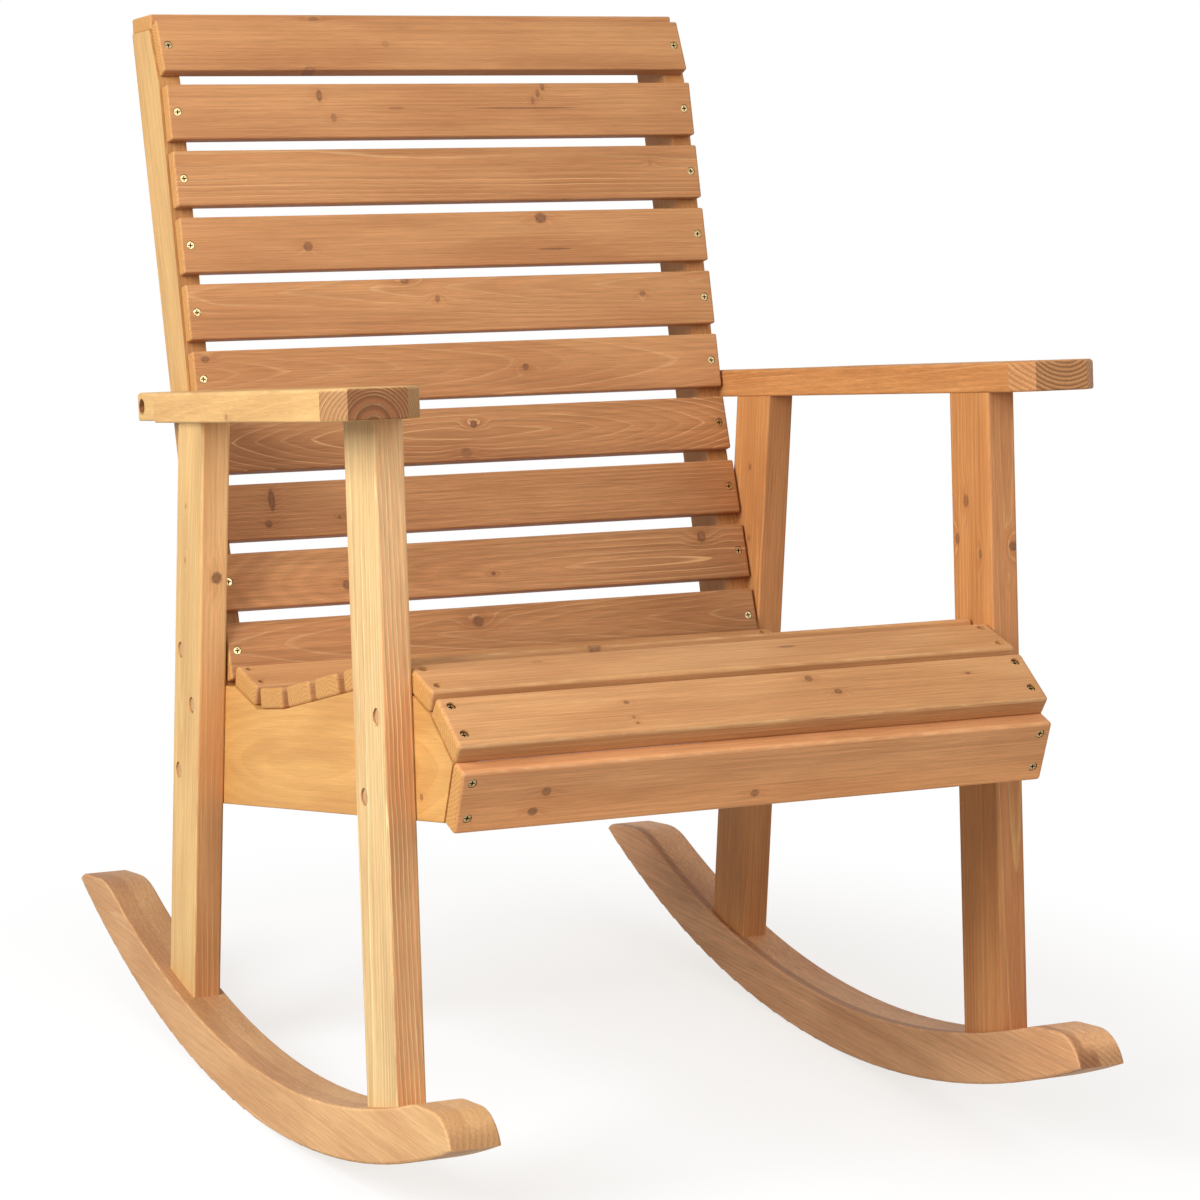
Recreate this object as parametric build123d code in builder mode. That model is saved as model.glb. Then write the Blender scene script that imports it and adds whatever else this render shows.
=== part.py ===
from build123d import *
from math import asin, cos, hypot, radians, sin, sqrt, tan
import os

# Slatted wooden rocking chair, millimetres and degrees.
# +Z is up, the sitter faces -Y, +X is the sitter's left.
# The boards are drawn with level arms. They are then turned back together about the
# rockers' centre line into the pose in which the empty chair comes to rest.
# The origin is on the floor, midway between the tips of the rockers.

# Rest pose
rest_lean = 8.75

# Side plane: the legs and arms stand outside it, the rails, stiles and slats inside it
side_plane_x = 282.5

# Rockers: two curved beams of constant height with trimmed ends
rocker_radius = 1130.0
rocker_height = 47.0
rocker_width = 46.0
rocker_inner_overhang = 6.5
rocker_low_y = -132.0
rocker_front_y = -472.0
rocker_rear_y = 472.0
rocker_front_top_z = 80.0
rocker_rear_top_z = 181.5
rocker_front_nose = 37.0
rocker_rear_nose = 16.0
rocker_front_blend = 60.0
rocker_rear_blend = 90.0
rocker_edge_radius = 2.5

# Legs: straight boards between the rockers and the arms
leg_thickness = 27.5
leg_width = 68.0
leg_edge_radius = 2.5
front_leg_setback = 108.2
front_leg_lean = 0.9
rear_leg_top_y = 109.5
rear_leg_lean = 10.0

# Arms: flat boards with cut front corners and a narrow tail
arm_underside_z = 642.5
arm_thickness = 27.0
arm_width = 88.5
arm_front_overhang = 87.5
arm_rear_y = 233.0
arm_corner_cut = 17.7
arm_shoulder_y = 28.0
arm_shoulder_length = 62.0
arm_tail_width = 38.0
arm_tail_corner_radius = 8.0
arm_top_edge_radius = 3.5
arm_bottom_edge_radius = 2.0

# Seat rails: boards on edge whose upper edge carries the seat slats
rail_thickness = 22.0
rail_step = 1.1
rail_rear_height = 117.5
rail_edge_radius = 1.5

# Seat slats, from the rear one to the front one: the two slats around the nose are wider
seat_slat_end_gap = 0.3
seat_slat_width = 54.0
seat_nose_slat_width = 59.0
seat_front_slat_width = 58.0
seat_slat_thickness = 20.0
seat_slat_edge_radius = 3.5
seat_rear_y = 72.0
seat_rear_z = 384.7
seat_forward_tilts = (17.0, -4.0, -9.0, -9.0, -9.0, -6.0, 21.0, 40.0, 114.5)
seat_flat_gap = 17.0
seat_bend_gap = 14.0
seat_curve_gap = 3.0
seat_nose_clearance = 0.1
seat_slat_widths = 7 * (seat_slat_width,) + (seat_nose_slat_width, seat_front_slat_width)

# Back slats, from the bottom one to the top one
back_slat_end_gap = 2.0
back_slat_width = 54.0
back_slat_thickness = 15.0
back_slat_edge_radius = 2.0
back_low_pitch = 66.3
back_middle_pitch = 64.8
back_low_y = 128.5
back_low_rise = 29.3
back_low_lean = 14.0
back_middle_lean = 9.0
back_top_lean = 22.0
back_slat_leans = 4 * (back_low_lean,) + 5 * (back_middle_lean,) + (back_top_lean,)
back_slat_pitches = 4 * (back_low_pitch,) + 6 * (back_middle_pitch,)

# Back stiles: boards with a straight rear edge and a front edge that follows the slats
stile_thickness = 22.0
stile_rear_y = 188.5
stile_rear_lean = 10.85
stile_edge_radius = 2.0

# Cap: a slat on the stile tops, a little below the top of the highest back slat
cap_drop = 3.0
cap_width = 54.0
cap_thickness = 15.0
cap_edge_radius = 2.0

# Slat screws: cross-recessed countersunk screws
screw_head_diameter = 8.2
screw_rim = 0.6
screw_head_height = 2.8
screw_shank_diameter = 4.0
screw_tip_length = 4.0
screw_recess_length = 4.8
screw_recess_width = 1.2
screw_recess_depth = 1.9
screw_clearance = 0.1
back_screw_length = 35.0
back_screw_sink = 0.8
seat_screw_length = 30.0
seat_screw_sink = 3.5
seat_nose_screw_sink = 2.0
seat_front_screw_sink = 0.8
seat_screw_sinks = 7 * (seat_screw_sink,) + (seat_nose_screw_sink, seat_front_screw_sink)
seat_screw_spacing = 33.0
seat_screw_rear_margin = 10.5

# Bolts through the legs and arm tails, and the wooden plugs over the leg bolts
bolt_head_diameter = 14.0
bolt_head_height = 4.0
bolt_shank_diameter = 6.0
bolt_depth_in_frame = 18.0
bolt_socket_across = 5.0
bolt_socket_depth = 2.5
bolt_clearance = 0.1
bolt_bore_depth = 12.0
plug_diameter = 15.4
plug_clearance = 0.1
plug_length = 6.3
plug_edge = 0.5
front_bolt_shifts = (-14.8, 19.6)
front_bolt_heights = (393.7, 323.4)
rear_rail_bolt_places = ((140.3, 373.8), (185.9, 308.9))
stile_bolt_y = 164.8
stile_bolt_z = 425.0
arm_bolt_rear_margin = 17.0

# Dowels inside the joints of the legs with the arms and the rockers
dowel_diameter = 10.0
dowel_length = 40.0
dowel_spacing = 34.0
dowel_end_chamfer = 1.0
dowel_clearance = 0.1
dowel_depth_in_arm = 16.0
dowel_depth_in_rocker = 20.0
dowel_lead = 3.0

# Sizes that follow from the values above
rocker_inner_x = side_plane_x - rocker_inner_overhang
rocker_top_radius = rocker_radius - rocker_height
leg_middle_x = side_plane_x + leg_thickness / 2
leg_outer_x = side_plane_x + leg_thickness
arm_outer_x = side_plane_x + arm_width
tail_outer_x = side_plane_x + arm_tail_width
arm_middle_z = arm_underside_z + arm_thickness / 2
screw_head_radius = screw_head_diameter / 2
screw_shank_radius = screw_shank_diameter / 2
dowel_hole_radius = dowel_diameter / 2 + dowel_clearance
bolt_hole_radius = bolt_shank_diameter / 2 + bolt_clearance
bolt_bore_radius = max(plug_diameter, bolt_head_diameter) / 2 + plug_clearance
arm_bolt_y = arm_rear_y - arm_bolt_rear_margin
half_back_slat = back_slat_width / 2
seat_slat_length = 2 * (side_plane_x - seat_slat_end_gap)
back_slat_length = 2 * (side_plane_x - back_slat_end_gap)
seat_screw_x = side_plane_x - rail_thickness / 2
back_screw_x = side_plane_x - stile_thickness / 2

RIGHT, LEFT = -1, 1
SIDES = {RIGHT: "right", LEFT: "left"}


def step(point, direction, distance):
    return (point[0] + direction[0] * distance, point[1] + direction[1] * distance)


def seat_direction(tilt):
    # Along a seat slat's width towards the front, in the side view (y, z)
    return (-cos(radians(tilt)), -sin(radians(tilt)))


def back_direction(lean):
    # Up along a back slat's width, in the side view (y, z)
    return (sin(radians(lean)), cos(radians(lean)))


def seat_nose_gap():
    # Gap between the undersides' ends at which the rounded edges of the two front slats just meet
    half_bend = radians(seat_forward_tilts[-1] - seat_forward_tilts[-2]) / 2
    edge_distance = 2 * seat_slat_edge_radius * (1 - sin(half_bend)) + seat_nose_clearance
    return edge_distance / cos(half_bend) - 2 * seat_slat_edge_radius


seat_slat_gaps = 5 * (seat_flat_gap,) + (seat_bend_gap, seat_curve_gap, seat_nose_gap())


def seat_seats():
    # Middle of each slat's underside, and the corners between the facets that carry the slats
    directions = [seat_direction(tilt) for tilt in seat_forward_tilts]
    halves = [width / 2 for width in seat_slat_widths]
    middles = [(seat_rear_y, seat_rear_z)]
    corners = [step(middles[0], directions[0], -halves[0])]
    for index, gap in enumerate(seat_slat_gaps):
        corner = step(middles[-1], directions[index], halves[index] + gap / 2)
        corners.append(corner)
        middles.append(step(corner, directions[index + 1], halves[index + 1] + gap / 2))
    corners.append(step(middles[-1], directions[-1], halves[-1]))
    return middles, corners


seat_middles, seat_corners = seat_seats()
rail_front_y = min(y for y, z in seat_corners)
front_leg_top_y = rail_front_y + front_leg_setback
arm_front_y = front_leg_top_y - arm_front_overhang
front_bolt_places = tuple(
    (front_leg_top_y + shift, height) for shift, height in zip(front_bolt_shifts, front_bolt_heights)
)
rail_seat_z = seat_corners[0][1] - rail_step
rail_bottom_rear_z = rail_seat_z - rail_rear_height
back_low_z = rail_seat_z + back_low_rise


def back_seats():
    # Middle of each slat's rear face, and the corners between the facets that carry the slats
    directions = [back_direction(lean) for lean in back_slat_leans]
    middles = [(back_low_y, back_low_z)]
    corners = []
    for index in range(len(back_slat_leans) - 1):
        corner = step(middles[-1], directions[index], back_slat_pitches[index] / 2)
        corners.append(corner)
        middles.append(step(corner, directions[index + 1], back_slat_pitches[index + 1] / 2))
    corners.append(step(middles[-1], directions[-1], half_back_slat))
    return middles, corners


back_middles, back_corners = back_seats()
stile_top_z = back_corners[-1][1] - cap_drop
stile_top_y = back_corners[-1][0] - cap_drop * tan(radians(back_top_lean))
stile_foot_y = back_low_y - (back_low_z - rail_seat_z) * tan(radians(back_low_lean))


def stile_rear_at(z):
    return stile_rear_y + (z - rail_seat_z) * tan(radians(stile_rear_lean))


def seat_face(index):
    # Plane on the upper face of a seat slat, facing the sitter
    tilt = radians(seat_forward_tilts[index])
    y, z = step(seat_middles[index], (-sin(tilt), cos(tilt)), seat_slat_thickness)
    return Plane(origin=(0, y, z), x_dir=(1, 0, 0), z_dir=(0, -sin(tilt), cos(tilt)))


def back_face(index):
    # Plane on the front face of a back slat, facing the sitter
    lean = radians(back_slat_leans[index])
    y, z = step(back_middles[index], (-cos(lean), sin(lean)), back_slat_thickness)
    return Plane(origin=(0, y, z), x_dir=(1, 0, 0), z_dir=(0, -cos(lean), sin(lean)))


cap_front_y = back_corners[-1][0]
cap_face = Plane.XY.offset(stile_top_z + cap_thickness)
cap_middle_y = cap_front_y + cap_width / 2

seat_faces = [seat_face(index) for index in range(len(seat_forward_tilts))]
back_faces = [back_face(index) for index in range(len(back_slat_leans))]


def back_screw_places(face, shift=0.0):
    return [face.location * Location((x, shift, -back_screw_sink)) for x in (-back_screw_x, back_screw_x)]


def seat_screw_places(index):
    rear = seat_slat_widths[index] / 2 - seat_screw_rear_margin
    return [
        seat_faces[index].location * Location((x, y, -seat_screw_sinks[index]))
        for x in (-seat_screw_x, seat_screw_x)
        for y in (rear, rear - seat_screw_spacing)
    ]


all_seat_screw_places = [place for index in range(len(seat_faces)) for place in seat_screw_places(index)]
cap_screw_places = back_screw_places(cap_face, cap_middle_y)
slat_screw_places = [place for face in back_faces for place in back_screw_places(face)]
all_back_screw_places = slat_screw_places + cap_screw_places


def side_location(side, x, y, z):
    # A hole's location on a face that looks outwards to one side
    return Plane(origin=(side * x, y, z), x_dir=(0, 1, 0), z_dir=(side, 0, 0)).location


def on_rocker_top(y, z, lean):
    # Where a line through (y, z), leaning like a leg, reaches the top of the rocker
    from_middle = (y - rocker_low_y, z - rocker_radius)
    down = (sin(radians(lean)), -cos(radians(lean)))
    along = from_middle[0] * down[0] + from_middle[1] * down[1]
    reach = sqrt(along ** 2 - hypot(*from_middle) ** 2 + rocker_top_radius ** 2) - along
    return step((y, z), down, reach)


legs = {"front": (front_leg_top_y, front_leg_lean), "rear": (rear_leg_top_y, rear_leg_lean)}


def arm_dowel_places(side):
    # Upward-facing points on the leg tops
    return [
        Location((side * leg_middle_x, top_y + shift, arm_underside_z))
        for top_y, lean in legs.values()
        for shift in (-dowel_spacing / 2, dowel_spacing / 2)
    ]


def foot_dowel_places(side, which):
    # Points on a rocker's top under a leg, turned along the leg
    top_y, lean = legs[which]
    places = []
    for shift in (-dowel_spacing / 2, dowel_spacing / 2):
        y, z = on_rocker_top(top_y + shift / cos(radians(lean)), arm_underside_z, lean)
        up_the_leg = (0, -sin(radians(lean)), cos(radians(lean)))
        places.append(Plane(origin=(side * leg_middle_x, y, z), x_dir=(1, 0, 0), z_dir=up_the_leg).location)
    return places


def turned_over(place):
    return place * Location((0, 0, 0), (180, 0, 0))


def tip_angle(tip_y):
    # Angle of a rocker tip from the lowest point, seen from the rockers' centre line
    return asin((tip_y - rocker_low_y) / rocker_radius)


front_tip_rest_y = rocker_radius * sin(tip_angle(rocker_front_y) - radians(rest_lean))
rear_tip_rest_y = rocker_radius * sin(tip_angle(rocker_rear_y) - radians(rest_lean))
rest_middle_y = (front_tip_rest_y + rear_tip_rest_y) / 2
lean_back = Location((0, -rest_middle_y, rocker_radius), (-rest_lean, 0, 0))
rest_pose = lean_back * Location((0, -rocker_low_y, -rocker_radius))

os.makedirs("parts", exist_ok=True)


def save(part, name):
    placed = part.moved(rest_pose)
    placed.label = name
    export_step(placed, f"parts/{name}.step")


# Fasteners

def slat_screw(length):
    with BuildPart() as screw:
        with BuildSketch(Plane.XZ):
            with BuildLine():
                Polyline(
                    (0, 0),
                    (screw_head_radius, 0),
                    (screw_head_radius, -screw_rim),
                    (screw_shank_radius, -screw_head_height),
                    (screw_shank_radius, screw_tip_length - length),
                    (0, -length),
                    close=True,
                )
            make_face()
        revolve(axis=Axis.Z)
        with BuildSketch():
            Rectangle(screw_recess_length, screw_recess_width)
            Rectangle(screw_recess_width, screw_recess_length)
        extrude(amount=-screw_recess_depth, mode=Mode.SUBTRACT)
    return screw.part


def screw_hole(length, sink):
    # The room that a sunk screw takes up in the wood
    wide = screw_head_radius + screw_clearance
    narrow = screw_shank_radius + screw_clearance
    with BuildPart() as hole:
        with BuildSketch(Plane.XZ):
            with BuildLine():
                Polyline(
                    (0, 2 * sink),
                    (wide, 2 * sink),
                    (wide, -screw_rim - screw_clearance),
                    (narrow, -screw_head_height - screw_clearance),
                    (narrow, screw_tip_length - length),
                    (0, -length - screw_clearance),
                    close=True,
                )
            make_face()
        revolve(axis=Axis.Z)
    return hole.part


back_screw_hole = screw_hole(back_screw_length, back_screw_sink)
seat_screw_hole = screw_hole(seat_screw_length, max(seat_screw_sinks))


def side_bolt(width):
    # A bolt through a board of the given width, its head at the bottom of the bore
    reach = width - bolt_bore_depth + bolt_depth_in_frame
    with BuildPart() as bolt:
        Cylinder(bolt_shank_diameter / 2, reach, align=(Align.CENTER, Align.CENTER, Align.MAX))
        Cylinder(
            bolt_head_diameter / 2,
            bolt_head_height,
            align=(Align.CENTER, Align.CENTER, Align.MIN),
        )
        with BuildSketch(Plane.XY.offset(bolt_head_height)):
            RegularPolygon(bolt_socket_across / 2, 6, major_radius=False)
        extrude(amount=-bolt_socket_depth, mode=Mode.SUBTRACT)
    return bolt.part


leg_bolt_places = {
    "front": front_bolt_places,
    "rear": rear_rail_bolt_places + ((stile_bolt_y, stile_bolt_z),),
}


def all_leg_bolt_places(x):
    return [
        side_location(side, x, y, z)
        for side in SIDES
        for places in leg_bolt_places.values()
        for y, z in places
    ]


# Wooden boards

def rocker(side):
    front_tip_z = rocker_radius - sqrt(rocker_radius ** 2 - (rocker_front_y - rocker_low_y) ** 2)
    rear_tip_z = rocker_radius - sqrt(rocker_radius ** 2 - (rocker_rear_y - rocker_low_y) ** 2)
    front_flat_y = rocker_front_y + rocker_front_nose
    rear_flat_y = rocker_rear_y - rocker_rear_nose

    def top_arc_y(z):
        return sqrt(rocker_top_radius ** 2 - (rocker_radius - z) ** 2)

    front_kink = (rocker_low_y - top_arc_y(rocker_front_top_z), rocker_front_top_z)
    rear_kink = (rocker_low_y + top_arc_y(rocker_rear_top_z), rocker_rear_top_z)
    with BuildPart() as board:
        with BuildSketch(Plane.YZ.offset(side * rocker_inner_x)) as outline:
            with BuildLine():
                ThreePointArc(
                    (rocker_front_y, front_tip_z),
                    (rocker_low_y, 0),
                    (rocker_rear_y, rear_tip_z),
                )
                TangentArc((rear_flat_y, rocker_rear_top_z), (rocker_rear_y, rear_tip_z), tangent=(1, 0))
                Line((rear_flat_y, rocker_rear_top_z), rear_kink)
                ThreePointArc(rear_kink, (rocker_low_y, rocker_height), front_kink)
                Line(front_kink, (front_flat_y, rocker_front_top_z))
                TangentArc(
                    (front_flat_y, rocker_front_top_z),
                    (rocker_front_y, front_tip_z),
                    tangent=(-1, 0),
                )
            make_face()
            for kink, blend in ((front_kink, rocker_front_blend), (rear_kink, rocker_rear_blend)):
                corner = outline.vertices().sort_by_distance(kink)[0]
                fillet(corner, blend)
        extrude(amount=side * rocker_width)
        fillet(board.faces().filter_by(Axis.X).edges(), rocker_edge_radius)
        for which in legs:
            lead = Location((0, 0, dowel_lead))
            with Locations(*[place * lead for place in foot_dowel_places(side, which)]):
                Hole(dowel_hole_radius, dowel_depth_in_rocker + dowel_clearance + dowel_lead)
    return board.part


def leg(side, which):
    top_y, lean = legs[which]
    up_the_leg = (0, -sin(radians(lean)), cos(radians(lean)))
    section = Plane(origin=(side * leg_middle_x, top_y, arm_underside_z), x_dir=(1, 0, 0), z_dir=up_the_leg)
    with BuildPart() as board:
        with BuildSketch(section):
            RectangleRounded(leg_thickness, leg_width, leg_edge_radius)
        extrude(amount=arm_underside_z, both=True)
        split(bisect_by=Plane.XY.offset(arm_underside_z), keep=Keep.BOTTOM)
        with BuildSketch(Plane.YZ):
            with Locations((rocker_low_y, rocker_radius)):
                Circle(rocker_top_radius)
        extrude(amount=2 * leg_outer_x, both=True, mode=Mode.INTERSECT)
        with Locations(*[side_location(side, leg_outer_x, y, z) for y, z in leg_bolt_places[which]]):
            CounterBoreHole(bolt_hole_radius, bolt_bore_radius, bolt_bore_depth)
        with Locations(*arm_dowel_places(side)):
            Hole(dowel_hole_radius, dowel_length - dowel_depth_in_arm + dowel_clearance)
        lead = Location((0, 0, dowel_lead))
        with Locations(*[turned_over(place) * lead for place in foot_dowel_places(side, which)]):
            Hole(dowel_hole_radius, dowel_length - dowel_depth_in_rocker + dowel_clearance + dowel_lead)
    return board.part


def arm(side):
    inner = side * side_plane_x
    outer = side * arm_outer_x
    tail = side * tail_outer_x
    cut = side * arm_corner_cut
    shoulder_end_y = arm_shoulder_y + arm_shoulder_length
    with BuildPart() as board:
        with BuildSketch(Plane.XY.offset(arm_underside_z)) as outline:
            with BuildLine():
                Polyline(
                    (tail, shoulder_end_y),
                    (tail, arm_rear_y),
                    (inner, arm_rear_y),
                    (inner, arm_front_y + arm_corner_cut),
                    (inner + cut, arm_front_y),
                    (outer - cut, arm_front_y),
                    (outer, arm_front_y + arm_corner_cut),
                    (outer, arm_shoulder_y),
                )
                Spline(
                    (outer, arm_shoulder_y),
                    (tail, shoulder_end_y),
                    tangents=((0, 1), (0, 1)),
                )
            make_face()
            rear_corner = outline.vertices().sort_by_distance((tail, arm_rear_y))[0]
            fillet(rear_corner, arm_tail_corner_radius)
        extrude(amount=arm_thickness)
        fillet(board.faces().sort_by(Axis.Z)[-1].edges(), arm_top_edge_radius)
        fillet(board.faces().sort_by(Axis.Z)[0].edges(), arm_bottom_edge_radius)
        with Locations(side_location(side, tail_outer_x, arm_bolt_y, arm_middle_z)):
            CounterBoreHole(bolt_hole_radius, bolt_bore_radius, bolt_bore_depth, arm_tail_width)
        with Locations(*[turned_over(place) for place in arm_dowel_places(side)]):
            Hole(dowel_hole_radius, dowel_depth_in_arm + dowel_clearance)
    return board.part


def seat_rail(side):
    rear_bottom_y = stile_rear_y + (rail_seat_z - rail_bottom_rear_z) * tan(radians(rear_leg_lean))
    with BuildPart() as board:
        with BuildSketch(Plane.YZ.offset(side * (side_plane_x - rail_thickness))):
            with BuildLine():
                Polyline(
                    *seat_corners,
                    (rear_bottom_y, rail_bottom_rear_z),
                    (stile_rear_y, rail_seat_z),
                    (seat_corners[0][0], rail_seat_z),
                    close=True,
                )
            make_face()
        extrude(amount=side * rail_thickness)
        bottom = board.faces().sort_by(lambda face: face.normal_at().Z)[0]
        fillet(bottom.edges().filter_by(Axis.X, reverse=True), rail_edge_radius)
        with Locations(*all_seat_screw_places):
            add(seat_screw_hole, mode=Mode.SUBTRACT)
        rail_bolts = front_bolt_places + rear_rail_bolt_places
        with Locations(*[side_location(side, side_plane_x, y, z) for y, z in rail_bolts]):
            Hole(bolt_hole_radius, bolt_depth_in_frame + bolt_clearance)
    return board.part


def back_stile(side):
    with BuildPart() as board:
        with BuildSketch(Plane.YZ.offset(side * (side_plane_x - stile_thickness))):
            with BuildLine():
                Polyline(
                    (stile_foot_y, rail_seat_z),
                    *back_corners[:-1],
                    (stile_top_y, stile_top_z),
                    (stile_rear_at(stile_top_z), stile_top_z),
                    (stile_rear_y, rail_seat_z),
                    close=True,
                )
            make_face()
        extrude(amount=side * stile_thickness)
        rear = board.faces().sort_by(lambda face: face.normal_at().Y)[-1]
        fillet(rear.edges().filter_by(Axis.X, reverse=True), stile_edge_radius)
        with Locations(*all_back_screw_places):
            add(back_screw_hole, mode=Mode.SUBTRACT)
        bolts = ((stile_bolt_y, stile_bolt_z), (arm_bolt_y, arm_middle_z))
        with Locations(*[side_location(side, side_plane_x, y, z) for y, z in bolts]):
            Hole(bolt_hole_radius, bolt_depth_in_frame + bolt_clearance)
    return board.part


def seat_slat(index):
    with BuildPart() as slat:
        with BuildSketch(seat_faces[index]):
            Rectangle(seat_slat_length, seat_slat_widths[index])
        extrude(amount=-seat_slat_thickness)
        fillet(slat.edges(), seat_slat_edge_radius)
        with Locations(*seat_screw_places(index)):
            add(seat_screw_hole, mode=Mode.SUBTRACT)
    return slat.part


def back_slat(face):
    with BuildPart() as slat:
        with BuildSketch(face):
            Rectangle(back_slat_length, back_slat_width)
        extrude(amount=-back_slat_thickness)
        fillet(slat.edges(), back_slat_edge_radius)
        with Locations(*back_screw_places(face)):
            add(back_screw_hole, mode=Mode.SUBTRACT)
    return slat.part


def cap_slat():
    with BuildPart() as slat:
        with BuildSketch(cap_face):
            with Locations((0, cap_middle_y)):
                Rectangle(back_slat_length, cap_width)
        extrude(amount=-cap_thickness)
        fillet(slat.edges(), cap_edge_radius)
        with Locations(*cap_screw_places):
            add(back_screw_hole, mode=Mode.SUBTRACT)
    return slat.part


for side, side_name in SIDES.items():
    save(rocker(side), f"rocker_{side_name}")
    for which in legs:
        save(leg(side, which), f"{which}_leg_{side_name}")
    save(arm(side), f"arm_{side_name}")
    save(seat_rail(side), f"seat_rail_{side_name}")
    save(back_stile(side), f"back_stile_{side_name}")

for index in range(len(seat_faces)):
    save(seat_slat(index), f"seat_slat_{index + 1}")

for index, face in enumerate(back_faces, start=1):
    save(back_slat(face), f"back_slat_{index}")

save(cap_slat(), "top_cap_slat")

# Screws of the back slats and of the cap
back_screw = slat_screw(back_screw_length)
with BuildPart() as back_slat_screws:
    with Locations(*all_back_screw_places):
        add(back_screw)
save(back_slat_screws.part, "back_slat_screws")

# Screws of the seat slats
seat_screw = slat_screw(seat_screw_length)
with BuildPart() as seat_slat_screws:
    with Locations(*all_seat_screw_places):
        add(seat_screw)
save(seat_slat_screws.part, "seat_slat_screws")

# Bolts that hold the legs to the seat rails and the back stiles
leg_bolt = side_bolt(leg_thickness)
with BuildPart() as leg_bolts:
    with Locations(*all_leg_bolt_places(leg_outer_x - bolt_bore_depth)):
        add(leg_bolt)
save(leg_bolts.part, "leg_bolts")

# Wooden plugs over the leg bolts
with BuildPart() as plug:
    Cylinder(plug_diameter / 2, plug_length, align=(Align.CENTER, Align.CENTER, Align.MIN))
    chamfer(plug.edges(), plug_edge)
plug_x = leg_outer_x - bolt_bore_depth + bolt_head_height + plug_clearance
with BuildPart() as leg_bolt_plugs:
    with Locations(*all_leg_bolt_places(plug_x)):
        add(plug.part)
save(leg_bolt_plugs.part, "leg_bolt_plugs")

# Bolts that hold the arm tails to the back stiles
arm_bolt = side_bolt(arm_tail_width)
arm_bolt_x = tail_outer_x - bolt_bore_depth
with BuildPart() as arm_bolts:
    with Locations(*[side_location(side, arm_bolt_x, arm_bolt_y, arm_middle_z) for side in SIDES]):
        add(arm_bolt)
save(arm_bolts.part, "arm_bolts")

# Dowels between the legs and the arms, and between the legs and the rockers
with BuildPart() as dowel:
    Cylinder(dowel_diameter / 2, dowel_length, align=(Align.CENTER, Align.CENTER, Align.MAX))
    chamfer(dowel.edges(), dowel_end_chamfer)
arm_rise = Location((0, 0, dowel_depth_in_arm))
with BuildPart() as arm_dowels:
    with Locations(*[place * arm_rise for side in SIDES for place in arm_dowel_places(side)]):
        add(dowel.part)
save(arm_dowels.part, "arm_dowels")

foot_places = [place for side in SIDES for which in legs for place in foot_dowel_places(side, which)]
foot_rise = Location((0, 0, dowel_length - dowel_depth_in_rocker))
with BuildPart() as foot_dowels:
    with Locations(*[place * foot_rise for place in foot_places]):
        add(dowel.part)
save(foot_dowels.part, "foot_dowels")
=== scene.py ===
# %% [markdown]
# A slatted rocking chair of stained fir, dressed for a studio picture.
# The boards, screws and plugs come from the CAD frame and already have the right shape.
# This lesson measures each board, builds a solid wood for it from nodes, and sets up floor, light and camera.

# %% Load the frame
import math

import bpy
import numpy as np
from mathutils import Matrix, Vector

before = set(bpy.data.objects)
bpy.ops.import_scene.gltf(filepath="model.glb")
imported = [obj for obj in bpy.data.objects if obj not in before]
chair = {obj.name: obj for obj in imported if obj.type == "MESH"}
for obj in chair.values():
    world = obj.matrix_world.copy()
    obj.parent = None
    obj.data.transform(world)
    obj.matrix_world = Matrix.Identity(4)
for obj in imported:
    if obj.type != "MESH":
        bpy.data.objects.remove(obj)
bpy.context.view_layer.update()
bpy.ops.object.select_all(action="DESELECT")

# %% [markdown]
# Real grain runs along a board, whichever way the board is turned on the chair. Each board therefore needs
# its own axes: along its length, across its width, and through its thickness. They could be typed in by
# hand, but they are measured here instead. Most of a board's skin is its two broad faces, then its edges,
# and least of all its ends. So the directions that the faces point in, weighed by area, give all three axes
# at once. What the faces can't tell is which end comes first and which broad face shows: each kind of board
# says that here.

# %% Kinds of boards
slat_show_face = Vector((0.0, -0.5, 0.85))
up = Vector((0.0, 0.0, 1.0))
to_the_left = Vector((1.0, 0.0, 0.0))
to_the_front = Vector((0.0, -1.0, 0.0))
board_kinds = {
    "back_slat": (to_the_left, slat_show_face),
    "seat_slat": (to_the_left, slat_show_face),
    "top_cap_slat": (to_the_left, slat_show_face),
    "front_leg": (up, None),
    "rear_leg": (up, None),
    "back_stile": (up, None),
    "seat_rail": (to_the_front, None),
    "rocker": (to_the_front, None),
    "arm": (to_the_front, up),
}
fixings = ("screws", "bolts", "plugs", "dowels")
print(len(board_kinds), "kinds of boards")

# %% [markdown]
# The measuring itself is a few lines of matrix arithmetic. The smallest axis of the spread is the length,
# because the fewest faces point that way, and the largest is the thickness.

# %% Measure each board's own axes


def mesh_values(items, name, width):
    """One property of all the faces or points of a mesh, as rows of numbers."""
    values = np.empty(len(items) * width)
    items.foreach_get(name, values)
    return values.reshape(-1, width)


def measure_board(board, length_hint, face_hint):
    """The board's axes (along, across, through), its centre, and half its size on each axis."""
    normals = mesh_values(board.data.polygons, "normal", 3)
    areas = mesh_values(board.data.polygons, "area", 1)
    spread = (normals * areas).T @ normals
    directions = np.linalg.eigh(spread)[1].T
    along = Vector(directions[0])
    through = Vector(directions[2])
    if face_hint is None:
        face_hint = to_the_left if board.name.endswith("_left") else -to_the_left
    if along.dot(length_hint) < 0:
        along.negate()
    if through.dot(face_hint) < 0:
        through.negate()
    axes = np.array([along, through.cross(along), through])
    points = mesh_values(board.data.vertices, "co", 3) @ axes.T
    middle = (points.min(axis=0) + points.max(axis=0)) / 2
    half = (points.max(axis=0) - points.min(axis=0)) / 2
    return {"axes": axes, "centre": Vector(middle @ axes), "half": half}


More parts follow.
